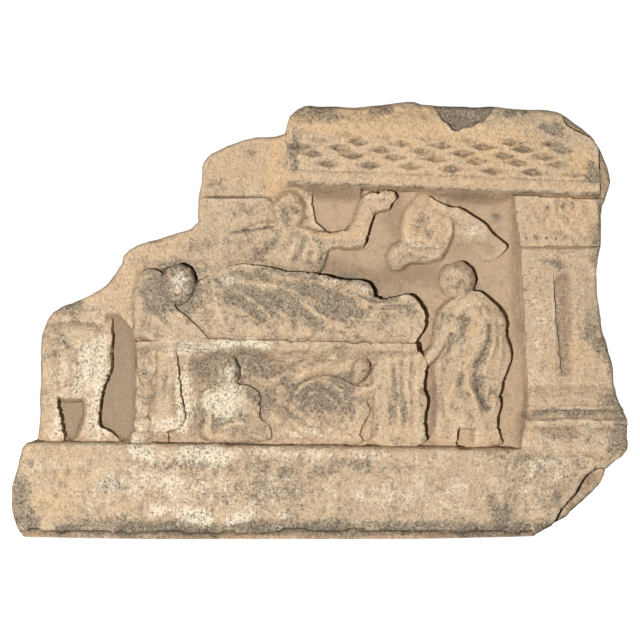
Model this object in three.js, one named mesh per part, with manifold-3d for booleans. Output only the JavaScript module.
// A broken panel of carved grey stone: a death-bed scene on a couch under a latticed lintel, with a
// pilaster at the right and a plain ledge below. It is one block, so the model is one solid.
//
// The carver's order is followed: the broken block, then the levels cut back into its front, then
// the figures left standing on those levels, and last the small cuts.
//
// Everything is worked out facing the viewer: x to the right of the middle, z above the underside,
// and depth forward of the flat back, all in millimetres. The last step stands the stone up.

import * as THREE from 'three';
import { mergeVertices } from 'three/addons/utils/BufferGeometryUtils.js';
import Module from 'manifold-3d';

const wasm = await Module();
wasm.setup();

// Driving dimensions.

const DEPTH = 90;
const CELL = 6; // grid of the carved surfaces
const BREAK_SLOPE = 0.9; // how steeply a broken top falls back

// Levels of the front, measured forward from the back.
const LEVEL = {
  buried: 40, // inside the stone, where every figure starts
  niche: 57,
  field: 60,
  underCouch: 68,
  masonry: 66,
  shaft: 78,
  rail: 80,
  capital: 82,
  lintel: 84,
  ledge: DEPTH,
  clear: DEPTH + 20, // in front of the whole stone, where every cutter ends
};

const LEFT = -250;
const RIGHT = 250;
const TOP = 356;

const line = (x0, z0, x1, z1) => (x) => z0 + ((z1 - z0) * (x - x0)) / (x1 - x0);
const ledgeTop = line(-228, 79, 164, 73);
const soffit = line(-27, 288, 227, 278);
const railTop = line(-91, 162.5, 77, 158.5);
const LEDGE_FALL = THREE.MathUtils.radToDeg(Math.atan(ledgeTop(1) - ledgeTop(0)));

const LINTEL_END = -27; // left end of the lintel
const NICHE_RIGHT = -150;
const COUCH_RIGHT = 79;
const PILASTER_EDGE = [
  [163, ledgeTop(163)],
  [169, 113],
  [165, 202],
  [163, 236],
  [156, 276],
  [156, soffit(156)],
];

// The broken outline, counter-clockwise from the left end of the underside.
const OUTLINE = [
  [-236, 0], [165, 0], [184, 9], [201, 17], [205, 24], [224, 39], [231, 47], [234, 60],
  [249, 72], [RIGHT, 80], [247, 104], [241, 113], [241, 124], [236, 152], [229, 173], [224, 208],
  [228, 238], [229, 270], [233, 275], [237, 295], [224, 326], [211, 336], [195, 346], [180, 350],
  [98, 353], [84, 353], [74, TOP], [62, 355], [48, 353], [32, 351], [-6, 353], [-15, 352],
  [-27, 340], [-29, 329], [-58, 327], [-74, 322], [-91, 314], [-97, 305], [-96, 296], [-100, 270],
  [-100, 254], [-126, 246], [-147, 241], [-160, 234], [-163, 220], [-181, 201], [-199, 194],
  [-217, 186], [-224, 176], [-228, 161], [-228, 80], [-240, 78], [LEFT, 36], [-249, 20], [-245, 7],
];

// Solids

function solid(geometry) {
  geometry.deleteAttribute('normal');
  geometry.deleteAttribute('uv');
  const merged = mergeVertices(geometry, 1e-4);
  const corners = merged.index.array;
  const triangles = [];
  for (let i = 0; i < corners.length; i += 3) {
    const [a, b, c] = corners.subarray(i, i + 3);
    if (a !== b && b !== c && c !== a) triangles.push(a, b, c);
  }
  return new wasm.Manifold(new wasm.Mesh({
    numProp: 3,
    vertProperties: new Float32Array(merged.attributes.position.array),
    triVerts: new Uint32Array(triangles),
  }));
}

const shapeOf = (points) => new THREE.Shape(points.map(([x, z]) => new THREE.Vector2(x, z)));

// A straight-sided solid over an outline, from one depth to another.
function prism(points, low, high) {
  const geometry = new THREE.ExtrudeGeometry(shapeOf(points), {
    depth: high - low,
    bevelEnabled: false,
  });
  return solid(geometry.translate(0, 0, low));
}

// A solid of one section, given as [z, depth], that runs from x0 to x1.
function beam(section, x0, x1) {
  const geometry = new THREE.ExtrudeGeometry(shapeOf(section), {
    depth: x1 - x0,
    bevelEnabled: false,
  });
  const turn = new THREE.Matrix4().makeBasis(
    new THREE.Vector3(0, 1, 0),
    new THREE.Vector3(0, 0, 1),
    new THREE.Vector3(1, 0, 0),
  );
  return solid(geometry.applyMatrix4(turn).translate(x0, 0, 0));
}

// A solid of one section, given as [x, depth], that stands from z0 to z1.
function post(section, z0, z1) {
  const geometry = new THREE.ExtrudeGeometry(shapeOf(section), {
    depth: z1 - z0,
    bevelEnabled: false,
  });
  return solid(geometry.rotateX(Math.PI / 2).translate(0, z1, 0));
}

function ball(x, z, depth, halfWidth, halfHeight, halfDepth) {
  const geometry = new THREE.SphereGeometry(1, 10, 8);
  geometry.scale(halfWidth, halfHeight, halfDepth);
  return solid(geometry.translate(x, z, depth));
}

// A surface carved over an outline: the front of a gridded box takes its depth from a formula, and
// the outline cuts it to shape.
function surface(outline, depthAt) {
  const box = new THREE.Box2().setFromPoints(outline.map(([x, z]) => new THREE.Vector2(x, z)));
  const size = box.getSize(new THREE.Vector2()).addScalar(2);
  const middle = box.getCenter(new THREE.Vector2());
  const columns = Math.ceil(size.x / CELL);
  const rows = Math.ceil(size.y / CELL);
  const geometry = new THREE.BoxGeometry(size.x, size.y, 2, columns, rows, 1);
  geometry.translate(middle.x, middle.y, 0);
  const { position } = geometry.attributes;
  for (let i = 0; i < position.count; i += 1) {
    const front = position.getZ(i) > 0;
    position.setZ(i, front ? depthAt(position.getX(i), position.getY(i)) : LEVEL.buried);
  }
  return solid(geometry).intersect(prism(outline, LEVEL.buried - 1, LEVEL.clear));
}

// Forms of a carved surface, each from 0 to 1.

// A round swelling over an ellipse.
function swelling(x, z, { at, reach }) {
  const away = ((x - at[0]) / reach[0]) ** 2 + ((z - at[1]) / reach[1]) ** 2;
  return Math.sqrt(Math.max(0, 1 - away));
}

// Parallel folds of cloth. They run in the direction `turn`, in degrees above level, one fold
// for each `pitch`, and `bow` bends them into curves.
function folds(x, z, { at, turn, pitch, bow = 0 }) {
  const angle = THREE.MathUtils.degToRad(turn);
  const dx = x - at[0];
  const dz = z - at[1];
  const along = dx * Math.cos(angle) + dz * Math.sin(angle);
  const across = dz * Math.cos(angle) - dx * Math.sin(angle);
  return 0.5 + 0.5 * Math.cos((2 * Math.PI * (across + bow * along ** 2)) / pitch);
}

// Folds that hang in nested Vs below a point, as cloth does between two shoulders or knees.
function swags(x, z, { at, slope, pitch }) {
  return 0.5 + 0.5 * Math.cos((2 * Math.PI * (z - at[1] - slope * Math.abs(x - at[0]))) / pitch);
}

// One carved form. It lies at `ground` and rises by its highest swelling and by its cloth, which
// may fade out over an ellipse (`over`) or stop at a hem, and it is broken away above `brokenAt`.
function carved({ outline, ground, swells = [], cloth = [], brokenAt = LEVEL.clear + TOP }) {
  return surface(outline, (x, z) => {
    const body = Math.max(0, ...swells.map((swell) => swell.rise * swelling(x, z, swell)));
    let draped = 0;
    for (const { kind, rise, over, hem = 0, ...shape } of cloth) {
      const share = over ? swelling(x, z, over) : 1;
      if (z > hem) draped += rise * share * kind(x, z, shape);
    }
    return ground + body + draped - BREAK_SLOPE * Math.max(0, z - brokenAt);
  });
}

// A worn head in front of the ground: skull, hair above the brow, and the ridge of the nose.
function head({ at: [x, z], halfWidth, halfHeight, ground, stands }) {
  const skull = ball(x, z, ground, halfWidth, halfHeight, stands);
  const hair = ball(
    x, z + halfHeight * 0.45, ground, halfWidth * 0.98, halfHeight * 0.58, stands * 0.98,
  );
  const nose = ball(
    x, z - halfHeight * 0.1, ground + stands * 0.8,
    halfWidth * 0.13, halfHeight * 0.26, stands * 0.27,
  );
  return skull.add(hair).add(nose);
}

// The block

const SKIN = [ // how far each ring of the outline is drawn in, at its depth
  { depth: 0, inset: 4 },
  { depth: 12, inset: 1 },
  { depth: 42, inset: 0 },
  { depth: 78, inset: 1 },
  { depth: LEVEL.ledge, inset: 3.5 },
];
const CHIPPING = 2; // most that a corner is drawn in beyond its ring's inset

// A repeatable number from 0 to 1 for each pair of whole numbers.
function hash(i, j) {
  const value = Math.sin(i * 127.1 + j * 311.7) * 43758.5453;
  return value - Math.floor(value);
}

// One ring of the block: the outline drawn in along its corners. The underside stays flat.
function ring({ depth, inset }, level) {
  return OUTLINE.map(([x, z], i) => {
    if (z === 0) return [x, z, depth];
    const [x0, z0] = OUTLINE.at(i - 1);
    const [x1, z1] = OUTLINE[(i + 1) % OUTLINE.length];
    const inward = new THREE.Vector2(z0 - z1, x1 - x0).normalize();
    const drawn = inset + (inset > 0 ? CHIPPING * hash(i, level) : 0);
    return [x + inward.x * drawn, Math.max(0.5, z + inward.y * drawn), depth];
  });
}

function brokenBlock() {
  const rings = SKIN.map(ring);
  const count = OUTLINE.length;
  const cap = THREE.ShapeUtils.triangulateShape(
    OUTLINE.map(([x, z]) => new THREE.Vector2(x, z)), [],
  );
  const triangles = [];
  for (const [a, b, c] of cap) {
    triangles.push(c, b, a);
    const front = (SKIN.length - 1) * count;
    triangles.push(front + a, front + b, front + c);
  }
  for (let r = 0; r < SKIN.length - 1; r += 1) {
    for (let i = 0; i < count; i += 1) {
      const a = r * count + i;
      const b = r * count + ((i + 1) % count);
      triangles.push(a, b, b + count, a, b + count, a + count);
    }
  }
  const geometry = new THREE.BufferGeometry();
  geometry.setAttribute('position', new THREE.Float32BufferAttribute(rings.flat(2), 3));
  geometry.setIndex(triangles);
  return solid(geometry);
}

// The pilaster below its capital: lower edge and level of the shaft and of each band of its base.
const CAPITAL_FOOT = 238;
const SHAFT_FOOT = 116;
const BANDS = [
  { foot: SHAFT_FOOT, level: LEVEL.shaft },
  { foot: 108, level: 83 },
  { foot: 106, level: 80 },
  { foot: 99, level: 84 },
  { foot: 93, level: 86 },
  { foot: 91, level: 83 },
  { foot: ledgeTop(RIGHT), level: 86 },
];

// Each level is a cutter that takes away all the stone in front of it.
function carvedLevels(block) {
  const cutters = [];
  const cut = (points, level) => cutters.push(prism(points, level, LEVEL.clear));
  const outside = 20;
  const left = LEFT - outside;
  const right = RIGHT + outside;
  const top = TOP + outside;

  cut([
    [left, ledgeTop(left)], [160, ledgeTop(160)], [160, SHAFT_FOOT], [right, SHAFT_FOOT],
    [right, top], [left, top],
  ], LEVEL.lintel);
  cut([
    [left, ledgeTop(left)], ...PILASTER_EDGE, [LINTEL_END, soffit(LINTEL_END)],
    [LINTEL_END, top], [left, top],
  ], LEVEL.masonry);

  // The ground of the scene, from the raised arm to the pilaster, and the niche by the couch.
  cut([
    [50, 200], [50, ledgeTop(50)], ...PILASTER_EDGE, [-8, soffit(-8)], [-4, 258], [6, 250],
    [-10, 190],
  ], LEVEL.field);
  cut([
    [-175, ledgeTop(-175)], [NICHE_RIGHT, ledgeTop(NICHE_RIGHT)], [NICHE_RIGHT, 160], [-153, 169],
    [-159, 173], [-175, 186],
  ], LEVEL.niche);
  cut([[-214, ledgeTop(-214)], [-190, ledgeTop(-190)], [-190, 114], [-214, 114]], LEVEL.niche);

  // The upper course of masonry lies a little behind the lower one.
  cut([[left, 279], [-46, 279], [-34, 276], [-20, 276], [LINTEL_END, top], [left, top]],
    LEVEL.masonry - 1.5);

  // The pilaster: capital, shaft and the bands of its base, each cut back to its own level.
  cut([[150, CAPITAL_FOOT], [right, CAPITAL_FOOT], [right, soffit(right)], [150, soffit(150)]],
    LEVEL.capital);
  let above = CAPITAL_FOOT;
  for (const { foot, level } of BANDS) {
    cut([[150, foot], [right, foot], [right, above], [150, above]], level);
    above = foot;
  }
  return cutters.reduce((stone, cutter) => stone.subtract(cutter), block);
}

// What broke off: slanting surfaces at the edges of the front.
function breaks(stone) {
  const clear = LEVEL.clear;
  const lost = [
    // the lower front edge of the ledge
    beam([[-5, 66], [0, 70], [8, LEVEL.ledge], [12, clear], [-5, clear]], LEFT - 1, RIGHT + 1),
    // the worn upper edge of the ledge, which falls to the right
    beam([[66, LEVEL.ledge], [76, 83], [86, 83], [86, clear], [66, clear]], LEFT, PILASTER_EDGE[0][0])
      .rotate([0, 0, LEDGE_FALL]),
    // the lower right corner of the front
    prism([[225, 58], [216, 53], [210, 43], [206, 36], [195, 24], [183, -1], [260, -1], [260, 58]],
      58, clear),
    // the top of the lintel and its right end
    beam([[338, 84], [TOP + 2, 72], [TOP + 2, clear], [338, clear]], LEFT, RIGHT),
    post([[222, 86], [228, 82], [238, 45], [262, 45], [262, clear], [222, clear]], 230, TOP + 2),
    // the shoulder of the pilaster's base
    post([[236, 88], [251, 60], [262, 60], [262, clear], [236, clear]], 60, 116),
  ];
  return lost.reduce((left, piece) => left.subtract(piece), stone);
}

// The couch

// A turned leg of ring foot and vase, leaning a little, below a square block.
const LEG = {
  top: [-141.5, 136],
  lean: 4.5, // degrees
  axis: 68, // depth of its middle
  swell: 1.2, // it stands out this much more than it is wide
  profile: [
    [0, 78], [9, 78], [8, 86], [5.5, 90], [7, 92], [7, 97], [4.5, 99], [5, 103], [8.5, 115],
    [8, 119], [4, 125], [4.5, 129], [4.5, 136], [0, 136],
  ],
  backing: [[-154, 77], [-142, 77], [-137, 130], [-147, 130]],
  block: [[-149, 129], [-134, 129], [-134, 157], [-149, 157]],
};

function couchLeg() {
  const profile = LEG.profile.map(([radius, z]) => new THREE.Vector2(radius, z));
  const turned = new THREE.LatheGeometry(profile, 10).scale(1, 1, LEG.swell);
  turned.translate(0, -LEG.top[1], 0).rotateZ(THREE.MathUtils.degToRad(-LEG.lean));
  turned.translate(...LEG.top, LEG.axis);
  return solid(turned)
    .add(prism(LEG.backing, LEVEL.buried, LEG.axis))
    .add(prism(LEG.block, LEVEL.buried + 1, LEVEL.rail - 3));
}

const RAIL = [
  [NICHE_RIGHT, 161], [-91, railTop(-91)], [COUCH_RIGHT, railTop(COUCH_RIGHT)],
  [COUCH_RIGHT, 150], [-91, 152], [NICHE_RIGHT, 151],
];

const COUCH_CLOTHS = [
  { // hangs beside the leg
    outline: [
      [-131, 153], [-117, 153], [-115, 127], [-113, 113], [-109, 99], [-114, 91], [-124, 87],
      [-136, 88], [-134, 110],
    ],
    ground: 72.5,
    cloth: [{ kind: folds, at: [-122, 120], turn: 85, pitch: 12, rise: 4 }],
  },
  { // hangs at the foot of the couch
    outline: [
      [50, 152], [COUCH_RIGHT, 152], [87, 142], [84, 136], [86, 127], [84, 121], [89, 111],
      [85, 97], [88, 75], [50, 76],
    ],
    ground: 74,
    cloth: [{ kind: folds, at: [68, 120], turn: 92, pitch: 12, rise: 3.5 }],
  },
  { // lies behind the mourners
    outline: [[-112, 153], [52, 151], [52, 76], [-112, 78], [-106, 98], [-111, 120]],
    ground: 68.5,
    cloth: [{ kind: folds, at: [-20, 160], turn: 72, pitch: 19, bow: -0.006, rise: 2.5 }],
  },
  { // the pillow
    outline: [
      [-121, 191], [-105, 177], [-96, 169], [-90, 161], [-151, 159], [-153, 186], [-150, 214],
      [-139, 222], [-126, 214],
    ],
    ground: 74,
    swells: [{ at: [-128, 180], reach: [45, 50], rise: 6 }],
  },
];

// The figures

const RECLINER = {
  body: {
    outline: [
      [-91, 160], [81, 157], [81, 164], [86, 172], [86, 179], [79, 194], [74, 198], [69, 198],
      [59, 196], [44, 196], [44, 203], [38, 210], [17, 211], [0, 216], [-28, 218], [-46, 222],
      [-78, 221], [-96, 212], [-108, 204], [-125, 192], [-120, 172],
    ],
    ground: 64,
    swells: [{ at: [2, 184], reach: [122, 44], rise: 16 }],
    cloth: [{
      kind: folds, at: [-20, 190], turn: -36, pitch: 20, bow: 0.0015, rise: 3.5,
      over: { at: [-15, 192], reach: [80, 30] },
    }],
  },
  head: { at: [-115, 204], halfWidth: 14.5, halfHeight: 17.5, ground: 64, stands: 17 },
  knot: [-139, 209, 64, 11, 10, 13], // of hair: its place and its half sizes
};

const BROKEN_ATTENDANT = {
  outline: [
    [-226.5, 176], [-221, 181], [-199, 184], [-177, 185], [-168, 183], [-171, 154], [-170, 142],
    [-173, 130], [-179, 121], [-179, 93], [-172, 87], [-160, 78], [-200, 78], [-197, 91],
    [-193, 103], [-193, 111], [-208, 112], [-213, 108], [-211, 95], [-208, 78], [-226, 78],
    [-224, 88], [-224, 113], [-226.5, 130],
  ],
  ground: 66,
  swells: [{ at: [-200, 135], reach: [42, 75], rise: 13 }],
  cloth: [{ kind: swags, at: [-201, 118], slope: 0.9, pitch: 14, rise: 2.5, hem: 112 }],
  brokenAt: 172,
};

const SEATED_MOURNER = {
  cloak: {
    outline: [
      [-84, 127], [-93, 124], [-99, 113], [-99, 103], [-96, 92], [-98, 78], [-41, 77], [-41, 90],
      [-51, 97], [-49, 105], [-49, 112], [-53, 121], [-62, 127],
    ],
    ground: 69,
    swells: [{ at: [-73, 98], reach: [34, 38], rise: 11 }],
    cloth: [{ kind: swags, at: [-73, 110], slope: 0.5, pitch: 13, rise: 1.5 }],
  },
  head: { at: [-73, 134], halfWidth: 9, halfHeight: 10.5, ground: LEVEL.underCouch, stands: 12 },
  knot: [-71.5, 143, LEVEL.underCouch, 4, 5, 10],
};

const CROUCHING_MOURNER = {
  body: {
    outline: [
      [-3, 94], [-3, 124], [3, 131], [11, 133], [22, 131], [33, 126], [45, 126], [61, 133],
      [63, 126], [54, 121], [39, 113], [42, 106], [41, 100], [31, 86], [38, 76], [12, 76],
      [10, 88],
    ],
    ground: 69,
    swells: [
      { at: [12, 108], reach: [22, 28], rise: 10 }, // back
      { at: [26, 98], reach: [18, 26], rise: 10 }, // knee
      { at: [46, 125], reach: [24, 8.5], rise: 9 }, // arm
    ],
    cloth: [{ kind: folds, at: [5, 105], turn: 60, pitch: 11, rise: 1.5 }],
  },
  bundle: {
    outline: [[-23, 111], [-20, 120], [-13, 124], [-5, 120], [-2, 110], [-6, 100], [-14, 97]],
    ground: 69.5,
    swells: [{ at: [-12, 110], reach: [14, 17], rise: 6 }],
  },
  head: { at: [33, 138], halfWidth: 8, halfHeight: 10, ground: LEVEL.underCouch, stands: 12 },
};

const STANDING_MOURNER = {
  body: {
    outline: [
      [112, 197], [104, 190], [102, 172], [104, 160], [101, 146], [99, 122], [103, 97],
      [107, 82], [88, 73], [113, 73], [114, 88], [132, 88], [133, 73], [152, 73], [145, 88],
      [144, 97], [147, 106], [147, 119], [153, 138], [157, 148], [155, 158], [151, 166],
      [153, 174], [149, 185], [137, 196], [128, 203],
    ],
    ground: 64,
    swells: [{ at: [127, 140], reach: [34, 84], rise: 14 }],
    cloth: [{ kind: folds, at: [127, 150], turn: 118, pitch: 14, bow: 0.004, rise: 2.5 }],
  },
  arm: {
    outline: [
      [112, 195], [98, 188], [95, 178], [95, 162], [82, 147], [84, 141], [90, 141], [98, 151],
      [103, 160], [108, 178],
    ],
    ground: 70,
    swells: [{ at: [98, 165], reach: [18, 40], rise: 8 }],
  },
  head: { at: [113, 210], halfWidth: 14, halfHeight: 16, ground: LEVEL.field, stands: 19 },
};

const FIGURE_WITH_RAISED_ARM = {
  torso: {
    outline: [
      [-72, 247], [-64, 252], [-36, 255], [-10, 252], [8, 248], [6, 234], [1, 216], [-70, 219],
    ],
    ground: 65,
    swells: [{ at: [-25, 232], reach: [60, 34], rise: 8 }],
    cloth: [{ kind: folds, at: [-25, 240], turn: 70, pitch: 16, bow: 0.004, rise: 2 }],
  },
  arm: {
    outline: [
      [-8, 254], [5, 255], [23, 251], [36, 279], [48, 282], [62, 279], [58, 271], [50, 267],
      [42, 265], [38, 250], [35, 239], [20, 237], [4, 236], [-8, 240],
    ],
    ground: 64,
    swells: [
      { at: [14, 246], reach: [32, 11], rise: 10 }, // upper arm
      { at: [37, 259], reach: [9, 26], rise: 10 }, // forearm
      { at: [50, 275], reach: [16, 10], rise: 10 }, // hand
    ],
  },
  head: { at: [-24, 269], halfWidth: 14, halfHeight: 18, ground: 64, stands: 16 },
};

// Two worn masses at the upper right of the scene.
const WORN_MASSES = [
  {
    outline: [
      [68, 264], [74, 270], [82, 276], [92, 275], [103, 265], [109, 258], [108, 246], [104, 237],
      [97, 232], [86, 228], [72, 225], [62, 218], [55, 225], [54, 236], [66, 249],
    ],
    ground: 64,
    swells: [
      { at: [86, 250], reach: [27, 29], rise: 13 },
      { at: [62, 232], reach: [14, 18], rise: 9 },
    ],
  },
  {
    outline: [
      [92, 277], [105, 270], [122, 265], [136, 254], [140, 248], [150, 240], [147, 235],
      [117, 238], [110, 234], [106, 226], [100, 234], [106, 258],
    ],
    ground: 62.5,
    swells: [{ at: [116, 254], reach: [38, 24], rise: 4 }],
  },
];

function figures() {
  const heads = [RECLINER, SEATED_MOURNER, CROUCHING_MOURNER, STANDING_MOURNER,
    FIGURE_WITH_RAISED_ARM].map((figure) => head(figure.head));
  const knots = [RECLINER, SEATED_MOURNER].map((figure) => ball(...figure.knot));
  const bodies = [
    RECLINER.body, BROKEN_ATTENDANT, SEATED_MOURNER.cloak, CROUCHING_MOURNER.body,
    CROUCHING_MOURNER.bundle, STANDING_MOURNER.body, STANDING_MOURNER.arm,
    FIGURE_WITH_RAISED_ARM.torso, FIGURE_WITH_RAISED_ARM.arm, ...WORN_MASSES,
  ].map(carved);
  return [...bodies, ...heads, ...knots];
}

// The small cuts

const LATTICE = {
  left: -22,
  right: 206,
  top: 328, // middle of the uppermost row at the left end
  rows: 6,
  rowStep: 5.9,
  pitch: 34,
  shift: 14.5, // each row starts this much further right
  halfWidth: 9.5,
  halfHeight: 2.7,
  cut: 2.6,
};

// Sunk lozenges in rows that follow the fall of the soffit. Each is a four-sided point driven half
// into the surface, so its base is twice as wide as the lozenge.
function latticeCuts() {
  const fall = soffit(1) - soffit(0);
  const cuts = [];
  for (let row = 0; row < LATTICE.rows; row += 1) {
    const start = LATTICE.left + ((row * LATTICE.shift) % LATTICE.pitch);
    for (let x = start; x < LATTICE.right; x += LATTICE.pitch) {
      const z = LATTICE.top - row * LATTICE.rowStep + fall * (x - LATTICE.left);
      const lozenge = new THREE.ConeGeometry(1, 2, 4).rotateX(-Math.PI / 2);
      lozenge.scale(2 * LATTICE.halfWidth, 2 * LATTICE.halfHeight, LATTICE.cut);
      lozenge.rotateZ(fall);
      cuts.push(solid(lozenge.translate(x, z, LEVEL.lintel)));
    }
  }
  return cuts;
}

const LEAVES = { x: [186, 196, 206], z: 258, halfWidth: 5.5, halfHeight: 13, stands: 4 };
const DRILL = { x: [178, 185, 193, 200], z: 244.5, radius: 1.5, deep: 5 };

const capitalLeaves = () => LEAVES.x.map((x) => (
  ball(x, LEAVES.z, LEVEL.capital, LEAVES.halfWidth, LEAVES.halfHeight, LEAVES.stands)
));

function pilasterCuts() {
  const panel = [[190, 219], [192, 174], [194, 159], [196, 134], [208, 134], [207, 219]];
  const holes = DRILL.x.map((x) => {
    const drill = new THREE.CylinderGeometry(DRILL.radius, DRILL.radius, 2 * DRILL.deep, 8);
    return solid(drill.rotateX(Math.PI / 2).translate(x, DRILL.z, LEVEL.capital));
  });
  const cove = [
    [150, 282], [158, 281], [158, CAPITAL_FOOT], [163, 200], [163, 178], [150, 178],
  ];
  return [prism(panel, LEVEL.shaft - 4, LEVEL.clear), ...holes, prism(cove, 64, LEVEL.clear)];
}

function reliefPanel() {
  const stone = breaks(carvedLevels(brokenBlock()));
  const rail = prism(RAIL, LEVEL.buried, LEVEL.rail);
  const standing = [
    rail, couchLeg(), ...COUCH_CLOTHS.map(carved), ...figures(), ...capitalLeaves(),
  ];
  const carvedStone = standing.reduce((whole, form) => whole.add(form), stone);
  const cuts = [...latticeCuts(), ...pilasterCuts()];
  return cuts.reduce((whole, cut) => whole.subtract(cut), carvedStone);
}

// The stone stands on its underside, its front facing -Y, centred over the origin.
function standUp(manifold) {
  const { vertProperties, triVerts } = manifold.getMesh();
  const geometry = new THREE.BufferGeometry();
  geometry.setAttribute('position', new THREE.BufferAttribute(vertProperties, 3));
  geometry.setIndex(new THREE.BufferAttribute(triVerts, 1));
  return geometry.rotateX(Math.PI / 2).translate(0, DEPTH / 2, 0);
}

const stoneMaterial = new THREE.MeshStandardMaterial({
  name: 'weathered_stone',
  color: '#b89f7b',
  roughness: 0.94,
  metalness: 0,
});

const panel = new THREE.Mesh(standUp(reliefPanel()), stoneMaterial);
panel.name = 'relief_panel';

const group = new THREE.Group();
group.name = 'stone_relief_panel';
group.add(panel);

export default group;
